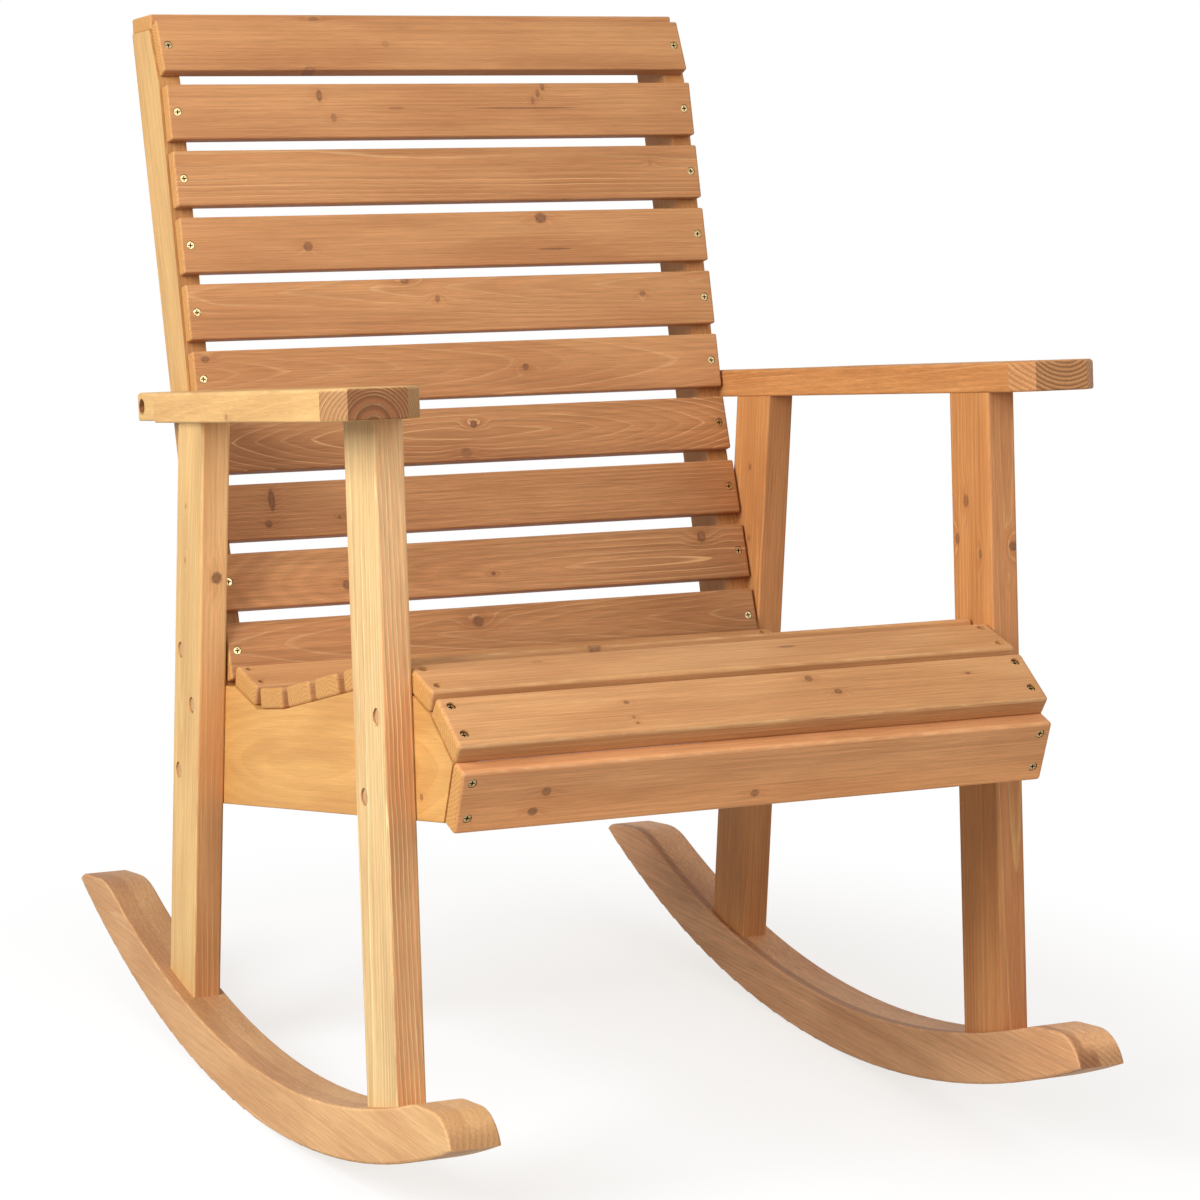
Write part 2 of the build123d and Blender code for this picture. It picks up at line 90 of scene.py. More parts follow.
boards = {}
for name, node in chair.items():
    for kind, (length_hint, face_hint) in board_kinds.items():
        if name == kind or name.startswith(kind + "_") and not name.endswith(fixings):
            boards[name] = measure_board(node, length_hint, face_hint)
slat_size = (boards["back_slat_1"]["half"] * 2000).round(1)
print("measured", len(boards), "boards; a back slat is", slat_size, "mm")

# %% [markdown]
# Node trees grow long when each node, setting and link takes a line of its own.
# A few small helpers keep the recipes readable: add_node fills a node's inputs by name or number,
# and links an input when it is given another node's socket instead of a plain value.

# %% Helpers for single nodes


def add_node(tree, kind, inputs=None, **options):
    """Adds a node, sets its options, and links or sets its inputs."""
    node = tree.nodes.new(kind)
    for option, value in options.items():
        setattr(node, option, value)
    for place, value in (inputs or {}).items():
        if isinstance(value, bpy.types.NodeSocket):
            tree.links.new(value, node.inputs[place])
        else:
            node.inputs[place].default_value = value
    return node


def maths(tree, operation, first, second=0.0, clamp=False):
    """One step of arithmetic."""
    node = add_node(tree, "ShaderNodeMath", {0: first, 1: second}, operation=operation, use_clamp=clamp)
    return node.outputs[0]


def vectors(tree, operation, first, second=(0.0, 0.0, 0.0)):
    """One step of vector arithmetic."""
    node = add_node(tree, "ShaderNodeVectorMath", {0: first, 1: second}, operation=operation)
    return node.outputs["Value" if operation in ("LENGTH", "DOT_PRODUCT") else "Vector"]


def split(tree, vector):
    """The three parts of a vector, by the names X, Y and Z."""
    return add_node(tree, "ShaderNodeSeparateXYZ", {0: vector}).outputs


def join(tree, **parts):
    """A vector from some of its parts. The others are zero."""
    inputs = {part.upper(): value for part, value in parts.items()}
    return add_node(tree, "ShaderNodeCombineXYZ", inputs).outputs[0]


def soft_step(tree, value, start, end, low=0.0, high=1.0):
    """Goes softly from low to high while the value goes from start to end."""
    limits = {"Value": value, "From Min": start, "From Max": end, "To Min": low, "To Max": high}
    return add_node(tree, "ShaderNodeMapRange", limits, interpolation_type="SMOOTHSTEP").outputs["Result"]


node_helpers = (add_node, maths, vectors, split, join, soft_step)
print("helpers for nodes:", [helper.__name__ for helper in node_helpers])

# %% [markdown]
# The next helpers make what is larger than a node: a noise with its own scale in each direction, one colour
# laid over another, a group with its sockets, and a new material that is put into the slots of a piece.
# Every board also has a seed, a number that moves its noise elsewhere, so that no two boards look alike.

# %% Helpers for patterns, groups and materials


def noise(tree, point, scale, detail=2.0, roughness=0.5):
    """Noise with its own scale in each direction."""
    stretched = vectors(tree, "MULTIPLY", point, scale)
    inputs = {"Vector": stretched, "Scale": 1.0, "Detail": detail, "Roughness": roughness}
    return add_node(tree, "ShaderNodeTexNoise", inputs).outputs


def shift_by_seed(tree, point, seed, shift):
    """Moves a pattern's point as far as the seed says."""
    return vectors(tree, "ADD", point, vectors(tree, "MULTIPLY", join(tree, x=seed, y=seed, z=seed), shift))


def blend(tree, factor, below, above, blend_type="MIX"):
    """Lays one colour over another."""
    inputs = {"Factor": factor, 6: below, 7: above}
    return add_node(tree, "ShaderNodeMix", inputs, data_type="RGBA", blend_type=blend_type).outputs[2]


def new_group(name, inputs, outputs):
    """An empty node group, with the sockets of its two ends."""
    tree = bpy.data.node_groups.new(name, "ShaderNodeTree")
    for socket, kind in inputs.items():
        tree.interface.new_socket(socket, in_out="INPUT", socket_type=f"NodeSocket{kind}")
    for socket in outputs:
        tree.interface.new_socket(socket, in_out="OUTPUT", socket_type="NodeSocketFloat")
    return tree, tree.nodes.new("NodeGroupInput").outputs, tree.nodes.new("NodeGroupOutput").inputs


def add_group(tree, group, inputs):
    """Adds a node group and links or sets its inputs."""
    return add_node(tree, "ShaderNodeGroup", inputs, node_tree=group).outputs


def new_material(name):
    """A new material, its node tree and its shader."""
    material = bpy.data.materials.new(name)
    material.use_nodes = True
    return material, material.node_tree, material.node_tree.nodes["Principled BSDF"]


def dress(name, material):
    """Puts a material into every slot of a piece."""
    for slot in chair[name].material_slots:
        slot.material = material


print("slots to dress:", sum(len(piece.material_slots) for piece in chair.values()))

# %% [markdown]
# A tree grows in rings around its heart, so a board cut from it carries slices of long tubes.
# Painting stripes on each face would not meet at the edges. A solid wood does: every point of the board
# asks how far it is from the heart line. All lengths are in centimetres.
# The heart line may slope against the board or bow, which draws arches on flat-sawn faces, and a small term
# that grows sideways gives the arches their pointed tips. Noise lets the line wander and the rings ripple.

# %% Growth rings: how far a point is from the heart
ripple_size = 0.12
ring_inputs = {
    "Point": "Vector", "Heart": "Vector", "Slope": "Vector", "Bow": "Float", "Ring": "Float",
    "Crowd": "Float", "Peak": "Float", "Wander": "Float", "Push": "Float", "Seed": "Float",
}
tree, given, results = new_group("fir growth rings", ring_inputs, ("Line", "Early"))
rings_group = tree
length_place = split(tree, given["Point"])["X"]
seeded = shift_by_seed(tree, given["Point"], given["Seed"], (71.3, 13.7, 29.1))
wander = vectors(tree, "SUBTRACT", noise(tree, seeded, (0.05, 0.13, 0.13))["Color"], (0.5, 0.5, 0.5))
wander = vectors(tree, "MULTIPLY", wander, join(tree, y=given["Wander"], z=given["Wander"]))
slope = vectors(tree, "MULTIPLY", join(tree, x=length_place, y=length_place, z=length_place), given["Slope"])
bow = maths(tree, "MULTIPLY", maths(tree, "MULTIPLY", length_place, length_place), given["Bow"])
heart_line = vectors(tree, "ADD", given["Heart"], vectors(tree, "ADD", slope, join(tree, z=bow)))
from_heart = vectors(tree, "SUBTRACT", vectors(tree, "ADD", given["Point"], wander), heart_line)
radius = vectors(tree, "LENGTH", vectors(tree, "MULTIPLY", from_heart, (0.0, 1.0, 1.0)))
ripple = maths(tree, "SUBTRACT", noise(tree, seeded, (0.20, 0.9, 0.9))["Fac"], 0.5)
radius = maths(tree, "ADD", radius, maths(tree, "MULTIPLY", ripple, ripple_size))
sideways = maths(tree, "ABSOLUTE", split(tree, from_heart)["Y"])
radius = maths(tree, "ADD", radius, maths(tree, "MULTIPLY", sideways, given["Peak"]))
print("distance from the heart:", len(tree.nodes), "nodes")

# %% [markdown]
# That distance, counted in ring widths, gives the ring that a point is in, and how late in that ring's
# year. A tree grows fast when young, so rings can be crowded together beyond a few centimetres from the
# heart. On stained fir the hard late wood takes up less stain, so each ring darkens a little and ends in a
# thin pale line. Some years leave a stronger line than others, and noise lets each line fade here and
# there.

# %% Growth rings: from distance to lines
wide_rings_reach = 2.4
late_wood_rise = (0.74, 0.91)
late_wood_fall = (0.95, 1.0)
faintest_line = 0.45
outside = maths(tree, "MAXIMUM", maths(tree, "SUBTRACT", radius, wide_rings_reach), 0.0)
crowded = maths(tree, "MULTIPLY", outside, given["Crowd"])
count = maths(tree, "DIVIDE", radius, given["Ring"])
count = maths(tree, "ADD", count, maths(tree, "ADD", given["Push"], crowded))
season = maths(tree, "FRACT", count)
ring_number = maths(tree, "ADD", maths(tree, "FLOOR", count), maths(tree, "MULTIPLY", given["Seed"], 13.0))
luck = add_node(tree, "ShaderNodeTexWhiteNoise", {"W": ring_number}, noise_dimensions="1D").outputs["Value"]
late_wood = soft_step(tree, season, *late_wood_rise)
late_wood = maths(tree, "MULTIPLY", late_wood, soft_step(tree, season, *late_wood_fall, 1.0, 0.0))
fading = soft_step(tree, noise(tree, seeded, (0.06, 0.4, 0.4))["Fac"], 0.34, 0.60, faintest_line, 1.0)
strength = maths(tree, "MULTIPLY", fading, soft_step(tree, luck, 0.0, 1.0, faintest_line, 1.0))
tree.links.new(maths(tree, "MULTIPLY", late_wood, strength), results["Line"])
tree.links.new(soft_step(tree, season, 0.05, 0.75, 1.0, 0.0), results["Early"])
print("rings:", len(rings_group.nodes), "nodes")

# %% [markdown]
# Between the rings, wood is made of fibres that run along the board. Noise that is stretched a hundred
# times along the length gives them, and a broader one gathers them in streaks. A third leaves short dark
# flecks where stain sits in open pores, and the broadest lets the stain come out uneven.

# %% Fibres, streaks, flecks and uneven stain
fibre_scale = (0.35, 17.0, 17.0)
streak_scale = (0.03, 5.0, 5.0)
pore_scale = (0.9, 24.0, 24.0)
blotch_scale = (0.06, 0.30, 0.30)
fibre_outputs = ("Fibre", "Streak", "Fleck", "Blotch")
tree, given, results = new_group("fir fibres", {"Point": "Vector", "Seed": "Float"}, fibre_outputs)
fibres_group = tree
seeded = shift_by_seed(tree, given["Point"], given["Seed"], (37.9, 11.3, 17.7))
fibre = noise(tree, seeded, fibre_scale, detail=3.0, roughness=0.6)["Fac"]
tree.links.new(fibre, results["Fibre"])
streak = noise(tree, seeded, streak_scale, detail=2.0, roughness=0.6)["Fac"]
tree.links.new(streak, results["Streak"])
pores = noise(tree, seeded, pore_scale, detail=1.0)["Fac"]
tree.links.new(soft_step(tree, pores, 0.62, 0.76), results["Fleck"])
blotch = noise(tree, seeded, blotch_scale, detail=1.0)["Fac"]
tree.links.new(soft_step(tree, blotch, 0.30, 0.70), results["Blotch"])
print("fibres:", len(fibres_group.nodes), "nodes")

# %% [markdown]
# A knot is where a branch left the trunk. It runs through the board as a plug of darker wood, the stain is
# warmer for a while along the grain beside it, and the rings swell around it. One group makes one knot: it
# measures how far a point is from the knot's middle, in units of the knot's own size. Part of its rim is
# darker than its core.

# %% The inside of a knot
knot_unevenness = 1.3
halo_stretch = (0.42, 0.9, 0.9)
rings_pushed = 1.7
knot_inputs = {"Point": "Vector", "Middle": "Vector", "Size": "Vector"}
tree, given, results = new_group("fir knot", knot_inputs, ("Core", "Rim", "Halo", "Push"))
knot_group = tree
away = vectors(tree, "DIVIDE", vectors(tree, "SUBTRACT", given["Point"], given["Middle"]), given["Size"])
uneven = maths(tree, "SUBTRACT", noise(tree, given["Point"], (3.0, 3.0, 3.0), detail=3.0)["Fac"], 0.5)
reach = maths(tree, "ADD", vectors(tree, "LENGTH", away), maths(tree, "MULTIPLY", uneven, knot_unevenness))
tree.links.new(soft_step(tree, reach, 0.55, 1.20, 1.0, 0.0), results["Core"])
rim = soft_step(tree, reach, 0.45, 0.90)
rim = maths(tree, "MULTIPLY", rim, soft_step(tree, reach, 0.95, 1.35, 1.0, 0.0))
tree.links.new(maths(tree, "MULTIPLY", rim, soft_step(tree, uneven, -0.15, 0.15)), results["Rim"])
along_grain = vectors(tree, "LENGTH", vectors(tree, "MULTIPLY", away, halo_stretch))
long_reach = maths(tree, "ADD", along_grain, maths(tree, "MULTIPLY", uneven, 0.5))
tree.links.new(soft_step(tree, long_reach, 0.45, 2.2, 1.0, 0.0), results["Halo"])
swell = soft_step(tree, long_reach, 0.4, 3.4, 1.0, 0.0)
tree.links.new(maths(tree, "MULTIPLY", maths(tree, "MULTIPLY", swell, swell), rings_pushed), results["Push"])
print("knot:", len(knot_group.nodes), "nodes")

# %% [markdown]
# Knots are described by where they are on the board, how large and how dark they are.
# A size that is very large in one direction lets the knot run right through the board that way.
# A thin streak of resin is described in the same way, but the rings beside it stay straight.

# %% Knots and resin streaks
through_all = 60.0


def face_knot(length_place, width_place, half_length, half_width, dark=0.8):
    """A knot that runs through a board from broad face to broad face."""
    size = (half_length, half_width, through_all)
    return {"middle": (length_place, width_place, 0.0), "size": size, "dark": dark, "swell": 1.0}


def edge_knot(length_place, thickness_place, half_length, half_width, dark=0.8):
    """A knot that shows on a board's edge."""
    size = (half_length, through_all, half_width)
    return {"middle": (length_place, 0.0, thickness_place), "size": size, "dark": dark, "swell": 1.0}


def resin_streak(length_place, width_place, half_length, half_width, dark=0.6):
    """A thin dark line of resin along the grain, around which the rings stay straight."""
    return {**face_knot(length_place, width_place, half_length, half_width, dark), "swell": 0.0}


def grow_knots(tree, point, knots):
    """A board's knots: how far they push the rings, how they warm the wood, and each with its darkness."""
    push = halo = 0.0
    grown_knots = []
    for knot in knots:
        grown = add_group(tree, knot_group, {"Point": point, "Middle": knot["middle"], "Size": knot["size"]})
        strength = knot["dark"] * knot["swell"]
        push = maths(tree, "ADD", push, maths(tree, "MULTIPLY", grown["Push"], strength))
        halo = maths(tree, "MAXIMUM", halo, maths(tree, "MULTIPLY", grown["Halo"], strength))
        grown_knots.append((grown, knot["dark"]))
    return push, halo, grown_knots


print("a knot is described as", face_knot(0.0, 0.0, 0.5, 0.4))

# %% [markdown]
# Now one board's finish. A Mapping node carries Object coordinates into the board's own axes, in
# centimetres, so the recipe below reads like a description of a plank. Faces, edges and ends are told apart
# by the surface itself: by how far it points along each of the board's axes. An arris is the rounded corner
# between a face and an edge, where the surface points a little both ways.

# %% Where a point is on its board
centimetre = 0.01


def board_point(tree, name):
    """The shaded point in the board's own axes, in centimetres from its centre, and the surface's normal."""
    coordinates = add_node(tree, "ShaderNodeTexCoord").outputs
    turn = Matrix(boards[name]["axes"].tolist()).transposed().to_euler()
    mapping = {"Vector": coordinates["Object"], "Location": boards[name]["centre"], "Rotation": turn}
    mapping["Scale"] = (centimetre, centimetre, centimetre)
    point = add_node(tree, "ShaderNodeMapping", mapping, vector_type="TEXTURE").outputs[0]
    return point, coordinates["Normal"]


def surface_kinds(tree, name, normal):
    """How much the surface belongs to an end, to an edge, and to a rounded arris of the board."""
    along, _, through = boards[name]["axes"]
    facing_end = maths(tree, "ABSOLUTE", vectors(tree, "DOT_PRODUCT", normal, tuple(along)))
    end = soft_step(tree, facing_end, 0.50, 0.86)
    facing_out = maths(tree, "ABSOLUTE", vectors(tree, "DOT_PRODUCT", normal, tuple(through)))
    edge = soft_step(tree, facing_out, 0.45, 0.80, 1.0, 0.0)
    edge = maths(tree, "MULTIPLY", edge, maths(tree, "SUBTRACT", 1.0, end))
    square = maths(tree, "MULTIPLY", facing_out, facing_out)
    turning = maths(tree, "MULTIPLY", square, maths(tree, "SUBTRACT", 1.0, square))
    arris = soft_step(tree, turning, 0.03, 0.20)
    arris = maths(tree, "MULTIPLY", arris, soft_step(tree, facing_end, 0.15, 0.5, 1.0, 0.0))
    return {"end": end, "edge": edge, "arris": arris}


print("a front leg reaches", (boards["front_leg_right"]["half"] / centimetre).round(1), "cm from its centre")

# %% [markdown]
# Stain does not take evenly over a board. Edges and ends drink more or less of it than the broad faces, one
# end of a board can be deeper than the other, and glued layers differ, so each of these has a tint or a
# tone of its own. The tints on the edges, along the length and on the lower side carry painted light and
# shade as well: they make parts of a board lighter or darker where the chair is lit more or less. Tints are
# multiplied rather than mixed with grey, so that darker places stay warm, as stain does. The edge tint can be
# told to change over only part of the length, and a layer is given by where it starts and stops.

# %% Stain and painted shade that change from place to place
layer_blur = 0.25


def tint_between(tree, share, tints):
    """A tint that changes from the first to the second as the share grows from 0 to 1."""
    first, second = [(*tint, 1.0) for tint in tints]
    return blend(tree, share, first, second)


def stain_and_painted_shade(
    tree, colour, name, place, kinds,
    edge_tints=None, edge_rise=(-1.0, 1.0), length_tints=None, lower_tint=None, end_tone=None, layers=(),
):
    """Lays the stain of a board's edges, length, ends and layers over its colour, with painted light and
    shade along its edges, its length and its lower side.
    """
    half_length, half_width, _ = boards[name]["half"] / centimetre
    # The edge, length and lower-side tints are stain and also painted light and shade.
    if edge_tints:
        rise = soft_step(tree, place["X"], edge_rise[0] * half_length, edge_rise[1] * half_length)
        colour = blend(tree, kinds["edge"], colour, tint_between(tree, rise, edge_tints), "MULTIPLY")
    if length_tints:
        along_board = soft_step(tree, place["X"], -half_length, half_length)
        colour = blend(tree, 1.0, colour, tint_between(tree, along_board, length_tints), "MULTIPLY")
    if lower_tint:
        low = soft_step(tree, place["Y"], -half_width, 0.5 * half_width, 1.0, 0.0)
        colour = blend(tree, low, colour, (*lower_tint, 1.0), "MULTIPLY")
    if end_tone:
        colour = blend(tree, kinds["end"], colour, (*end_tone, 1.0))
    for start, stop, kind, tint in layers:
        after_start = soft_step(tree, place["Z"], start - layer_blur, start + layer_blur)
        before_stop = soft_step(tree, place["Z"], stop - layer_blur, stop + layer_blur, 1.0, 0.0)
        inside = maths(tree, "MULTIPLY", after_start, before_stop)
        colour = blend(tree, maths(tree, "MULTIPLY", inside, kinds[kind]), colour, (*tint, 1.0), "MULTIPLY")
    return colour


print("layers fade over", 2 * layer_blur, "cm")

# %% [markdown]
# The growth rings come next. They shade the wood a little within each year, much more on end grain, and the
# late wood is laid over that as pale lines. A board says how strong its lines are; around knots and on ends
# they are stronger, and on some boards they are clear only from a certain place on.

# %% Rings on the stained wood
knot_line_gain = 0.4
end_line_gain = 0.45
line_fade = 6.0
faded_line = 0.2
ring_depth = (0.08, 0.04)
end_ring_depth = (0.38, 0.10)


def around_one(depth, share):
    """A factor below 1 and one above it. The depth says how far each goes when the share is 1."""
    return 1.0 - depth[0] * share, 1.0 + depth[1] * share


def line_strength(tree, place, kinds, halo, line, line_from, end_rings):
    """How strongly the pale lines show at each point of the board."""
    strength = maths(tree, "ADD", maths(tree, "MULTIPLY", halo, knot_line_gain), line)
    on_ends = maths(tree, "MULTIPLY", kinds["end"], end_line_gain * end_rings)
    strength = maths(tree, "ADD", on_ends, strength)
    if line_from is not None:
        clear = soft_step(tree, place["X"], line_from - line_fade, line_from + line_fade, faded_line, 1.0)
        strength = maths(tree, "MULTIPLY", strength, clear)
    return strength


def shade_rings(tree, colour, early, kinds, line, end_rings):
    """Shades each ring from its pale early wood to its darker late wood."""
    ground = soft_step(tree, early, 0.0, 1.0, *around_one(ring_depth, min(line, 1.0)))
    colour = blend(tree, 1.0, colour, ground, "MULTIPLY")
    end_ground = soft_step(tree, early, 0.0, 1.0, *around_one(end_ring_depth, end_rings))
    return blend(tree, kinds["end"], colour, end_ground, "MULTIPLY")


print("rings shade a face by", around_one(ring_depth, 1.0), "and an end by", around_one(end_ring_depth, 1.0))

# %% [markdown]
# The finest colours come last: fibres and streaks, flecks of stain in the pores, the dark wood of the knots,
# and the arrises, which hands and cloth have rubbed pale.

# %% Fibres, knots and wear
brightest_tone = 0.92
streak_depth = (0.11, 0.09)
fibre_depth = (0.16, 0.13)
fleck_share = 0.28
fleck_tint = (0.60, 0.50, 0.42)
rubbed_tint = (1.22, 1.45, 1.65)
knot_core_tone = (0.220, 0.098, 0.047, 1.0)
knot_rim_tone = (0.105, 0.038, 0.018, 1.0)


def shade(tone, red, green, blue):
    """A tone with its red, green and blue each made weaker or stronger, up to the brightest tone."""
    return (*[min(part * share, brightest_tone) for part, share in zip(tone, (red, green, blue))], 1.0)


def lay_fibres(tree, colour, tone, fibres, grain):
    """Lays streaks, fibres and flecks over the colour. Grain is how strong they are."""
    streaks = soft_step(tree, fibres["Streak"], 0.25, 0.75, *around_one(streak_depth, grain))
    fine = soft_step(tree, fibres["Fibre"], 0.22, 0.78, *around_one(fibre_depth, grain))
    colour = blend(tree, 1.0, colour, maths(tree, "MULTIPLY", streaks, fine), "MULTIPLY")
    flecks = maths(tree, "MULTIPLY", fibres["Fleck"], fleck_share * grain)
    return blend(tree, flecks, colour, shade(tone, *fleck_tint))


def lay_knots(tree, colour, grown_knots):
    """Lays each knot's core and rim over the colour."""
    for grown, dark in grown_knots:
        colour = blend(tree, maths(tree, "MULTIPLY", grown["Core"], dark), colour, knot_core_tone)
        colour = blend(tree, maths(tree, "MULTIPLY", grown["Rim"], 0.9 * dark), colour, knot_rim_tone)
    return colour


def rub_arrises(tree, colour, tone, point, arris, wear):
    """Rubs the stain off the arrises here and there."""
    rubbed = soft_step(tree, noise(tree, point, (0.4, 1.1, 1.1), detail=4.0)["Fac"], 0.42, 0.66)
    rubbed = maths(tree, "MULTIPLY", maths(tree, "MULTIPLY", arris, rubbed), wear)
    return blend(tree, rubbed, colour, shade(tone, *rubbed_tint))


print("fibres shade the wood by", around_one(fibre_depth, 1.0))

# %% [markdown]
# Gloss and relief follow the same fibres, so that a highlight breaks up where the colour does.
# Late wood is harder: it stands a little proud and is a little smoother.

# %% Gloss and relief
satin_roughness = (0.64, 0.50)
satin_specular = 0.20
late_wood_gloss = 0.08
late_wood_relief = 0.7


def add_bump(tree, shader, height, strength, distance):
    """A relief that only the light sees. The distance is in metres."""
    bump = add_node(tree, "ShaderNodeBump", {"Height": height, "Strength": strength, "Distance": distance})
    tree.links.new(bump.outputs[0], shader.inputs["Normal"])


def satin_surface(tree, shader, fibre, late):
    """A satin gloss and a fine relief that follow the fibres and the late wood."""
    roughness = soft_step(tree, fibre, 0.3, 0.7, *satin_roughness)
    roughness = maths(tree, "SUBTRACT", roughness, maths(tree, "MULTIPLY", late, late_wood_gloss))
    tree.links.new(roughness, shader.inputs["Roughness"])
    relief = maths(tree, "ADD", fibre, maths(tree, "MULTIPLY", late, late_wood_relief))
    add_bump(tree, shader, relief, strength=0.20, distance=0.0004)
    shader.inputs["Specular IOR Level"].default_value = satin_specular


print("satin roughness from", satin_roughness[0], "to", satin_roughness[1])

# %% [markdown]
# The recipe itself starts from the board's tone and lays one thing over the other, from the broadest to the
# finest. The board's cut is told by its heart: where the heart of the tree was, across and through the
# board, how it slopes (skew across, taper through) and how it bows. Everything about stain, and the painted
# light and shade laid with it, is handed on to the helper for stain and painted shade.

# %% The finish of one stained board
thick_stain = (0.90, 0.85, 0.82)
thin_stain = (1.06, 1.08, 1.09)
pale_line = (1.24, 1.46, 1.62)
warm_halo = (0.80, 0.66, 0.55, 1.0)
halo_share = 0.55


def stained_fir(
    name, tone, heart=(0.0, -6.0), taper=0.0, skew=0.0, bow=0.0, ring=0.4, crowd=0.0, peak=0.12, wander=0.8,
    line=0.5, line_tint=pale_line, line_from=None, end_rings=0.3, grain=1.0,
    knots=(), wear=0.25, seed=0.0, **stain,
):
    """Gives a board its own wood. Lengths are in centimetres along, across and through the board."""
    material, tree, shader = new_material(f"{name} stained fir")
    point, normal = board_point(tree, name)
    place = split(tree, point)
    kinds = surface_kinds(tree, name, normal)
    push, halo, grown_knots = grow_knots(tree, point, knots)
    rings = add_group(tree, rings_group, {
        "Point": point, "Heart": (0.0, *heart), "Slope": (0.0, skew, taper), "Bow": bow, "Ring": ring,
        "Crowd": crowd, "Peak": peak, "Wander": wander, "Push": push, "Seed": seed,
    })
    fibres = add_group(tree, fibres_group, {"Point": point, "Seed": seed})
    strength = line_strength(tree, place, kinds, halo, line, line_from, end_rings)
    late = maths(tree, "MULTIPLY", rings["Line"], strength, clamp=True)

    colour = blend(tree, fibres["Blotch"], shade(tone, *thick_stain), shade(tone, *thin_stain))
    # Stain, with painted light and shade along the edges, the length and the lower side, is laid here.
    colour = stain_and_painted_shade(tree, colour, name, place, kinds, **stain)
    colour = shade_rings(tree, colour, rings["Early"], kinds, line, end_rings)
    colour = blend(tree, maths(tree, "MULTIPLY", halo, halo_share), colour, warm_halo, "MULTIPLY")
    colour = blend(tree, late, colour, shade(tone, *line_tint))
    colour = lay_fibres(tree, colour, tone, fibres, grain)
    colour = lay_knots(tree, colour, grown_knots)
    colour = rub_arrises(tree, colour, tone, point, kinds["arris"], wear)
    tree.links.new(colour, shader.inputs["Base Color"])
    satin_surface(tree, shader, fibres["Fibre"], late)
    dress(name, material)


print("stain goes from", thick_stain, "to", thin_stain, "times a board's tone")

# %% [markdown]
# The ten back slats are what the eye meets first, and no two have the same figure.
# Some are cut near the middle of the tree and show pointed arches, others are straight-grained.
# Each gets its heart line, ring width and knots from what can be seen on it. Slat 1 is the lowest.

# %% The figure of each back slat
back_slat_woods = {
    10: {"heart": (-7.0, -5.0), "ring": 0.33, "line": 0.16, "taper": 0.01,
         "knots": [face_knot(-4.6, 0.1, 0.35, 0.35, 0.25), face_knot(-13.1, -2.6, 0.6, 0.25, 0.45)]},
    9: {"heart": (6.0, -6.0), "ring": 0.36, "line": 0.18, "taper": -0.01,
        "knots": [face_knot(-12.5, 1.5, 0.30, 0.55, 0.7), face_knot(-11.2, -0.7, 0.30, 0.40, 0.45),
                  resin_streak(-4.5, 0.2, 0.8, 0.10, 0.5),
                  face_knot(11.5, 2.3, 0.22, 0.36, 0.6), face_knot(10.9, 1.6, 0.20, 0.40, 0.6),
                  face_knot(10.3, 0.9, 0.20, 0.36, 0.5), resin_streak(9.4, 0.15, 5.2, 0.08, 0.75)]},
    8: {"heart": (2.5, -4.5), "ring": 0.34, "line": 0.85, "taper": 0.006, "wander": 0.5,
        "knots": [face_knot(22.6, 0.9, 0.25, 0.25, 0.25)]},
    7: {"heart": (5.0, -6.0), "ring": 0.38, "line": 0.18, "taper": 0.015,
        "knots": [face_knot(-15.2, -0.4, 0.45, 0.45, 0.75), face_knot(9.8, 1.95, 0.60, 0.50, 0.8),
                  resin_streak(11.1, -1.2, 1.7, 0.09, 0.8)]},
    6: {"heart": (1.6, -2.0), "ring": 0.40, "line": 0.65, "taper": 0.045,
        "knots": [face_knot(-5.5, 2.45, 0.45, 0.30, 0.6), face_knot(-2.2, 0.6, 0.25, 0.35, 0.6),
                  face_knot(20.2, 0.5, 0.32, 0.28, 0.6)]},
    5: {"heart": (0.4, -2.8), "ring": 0.40, "line": 0.55, "taper": -0.07,
        "knots": [face_knot(6.5, 0.0, 0.32, 0.32, 0.8), face_knot(-26.8, 1.9, 0.40, 0.32, 0.7)]},
    4: {"heart": (0.1, -2.0), "ring": 0.38, "line": 0.85, "bow": -0.0034, "wander": 0.4, "peak": 0.25,
        "grain": 1.2,
        "knots": [face_knot(0.2, 0.9, 0.34, 0.34, 0.95), face_knot(-1.0, -1.9, 0.55, 0.45, 0.5)]},
    3: {"heart": (-5.0, -4.0), "ring": 0.36, "line": 0.36, "taper": 0.02, "grain": 1.35,
        "knots": [face_knot(-21.8, 1.0, 0.32, 1.05, 0.8), face_knot(-22.4, -1.3, 0.35, 0.35, 0.75),
                  face_knot(-15.1, -1.0, 0.18, 0.18, 0.7)]},
    2: {"heart": (-0.6, -0.55), "ring": 0.69, "line": 1.3, "line_from": 4.0, "taper": 0.109, "bow": -0.0034,
        "wander": 0.15, "grain": 1.35,
        "knots": [face_knot(23.2, 1.6, 0.45, 0.55, 0.75), face_knot(0.1, -0.8, 0.20, 0.18, 0.9),
                  face_knot(-15.3, -1.0, 0.40, 0.45, 0.7)]},
    1: {"heart": (0.2, -2.6), "ring": 0.42, "line": 0.60, "taper": 0.06, "grain": 1.3,
        "knots": [face_knot(-2.2, 1.2, 0.55, 0.52, 0.9)]},
}
print("described", len(back_slat_woods), "back slats")
